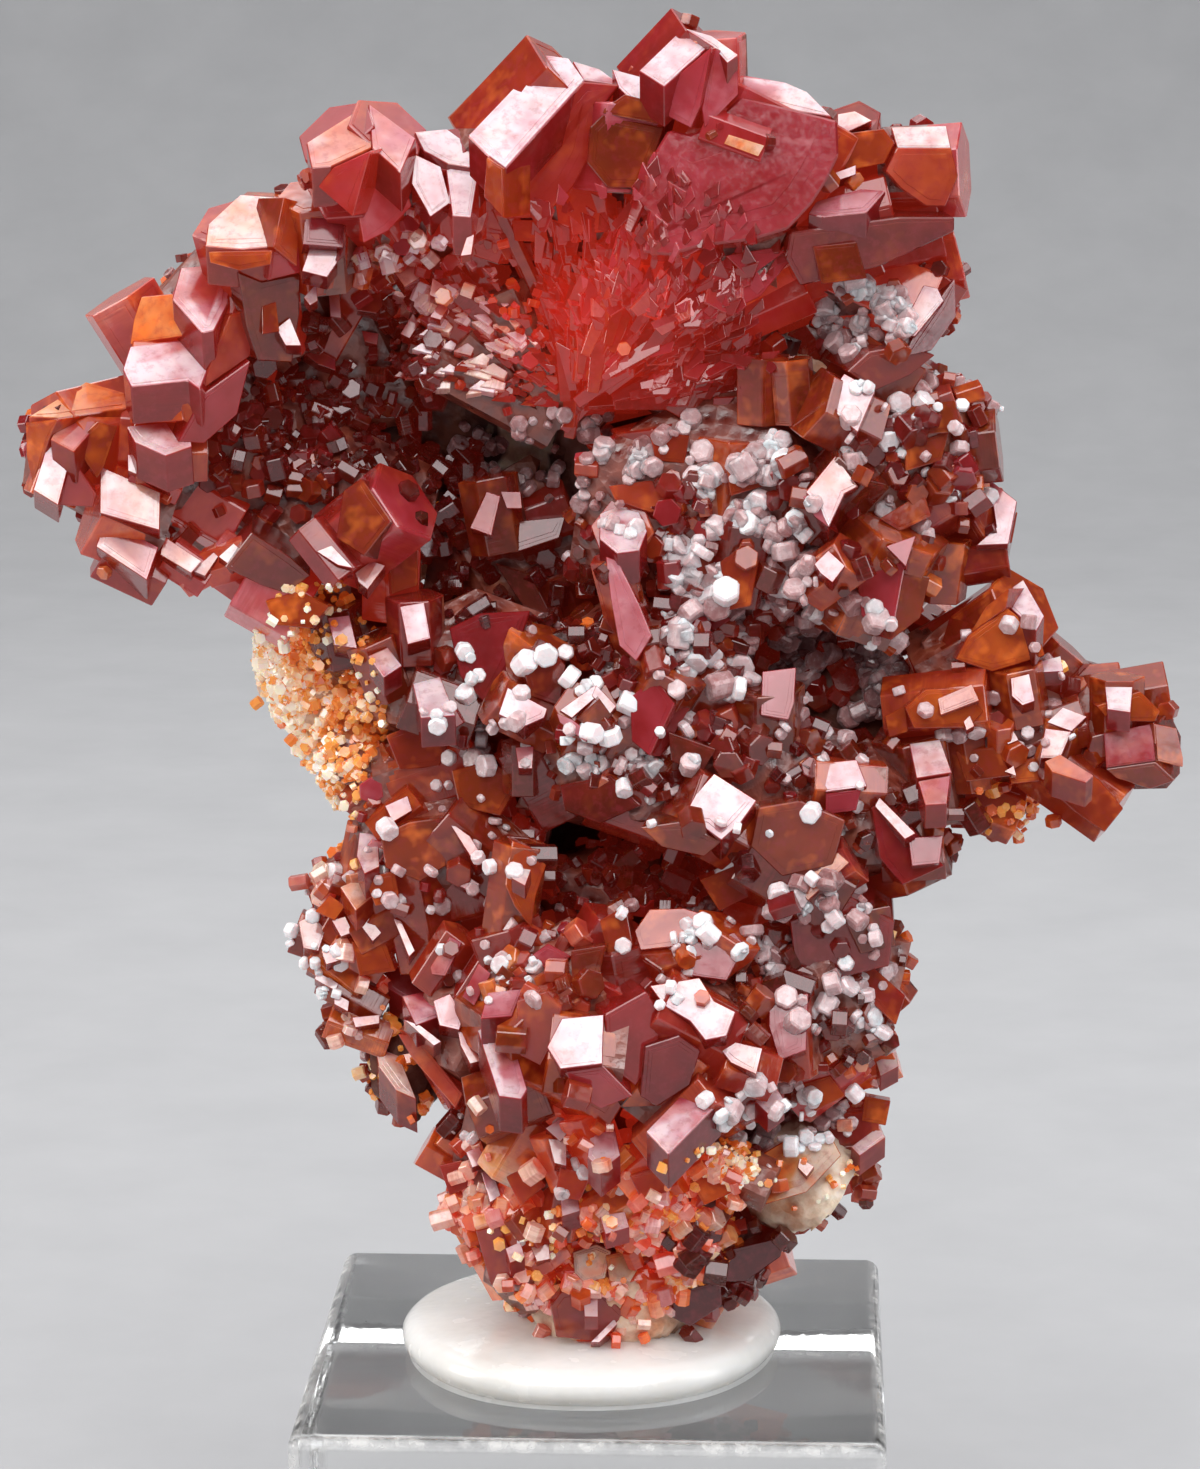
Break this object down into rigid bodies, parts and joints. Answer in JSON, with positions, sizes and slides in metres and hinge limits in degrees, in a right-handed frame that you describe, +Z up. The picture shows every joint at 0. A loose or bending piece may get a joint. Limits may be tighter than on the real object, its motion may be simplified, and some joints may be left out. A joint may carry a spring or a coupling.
{
  "type": "vanadinite on matrix",
  "caption": "Red-brown hexagonal vanadinite crystals on pale matrix rock, set in putty on a clear square display block.",
  "frame": {"origin": "centre of the display block's underside", "axes": "+Z up, -Y the specimen's front, +X to the right as seen from the front"},
  "size_m": [0.0753, 0.0397, 0.1136],
  "materials": {
    "clear_acrylic": "clear polished acrylic with slightly whitened edges",
    "milky_putty": "milky translucent putty with a soft gloss",
    "matrix_rock": "cream granular rock stained orange",
    "vanadinite": "resinous, bright red-brown crystal faces"
  },
  "bodies": {
    "root": {"acrylic_block": "clear_acrylic", "mounting_putty": "milky_putty", "matrix": "matrix_rock", "lower_crystals": "vanadinite", "middle_crystals": "vanadinite", "crown_crystals": "vanadinite", "back_upper_crystals": "vanadinite", "back_lower_crystals": "vanadinite"}
  },
  "joints": []
}
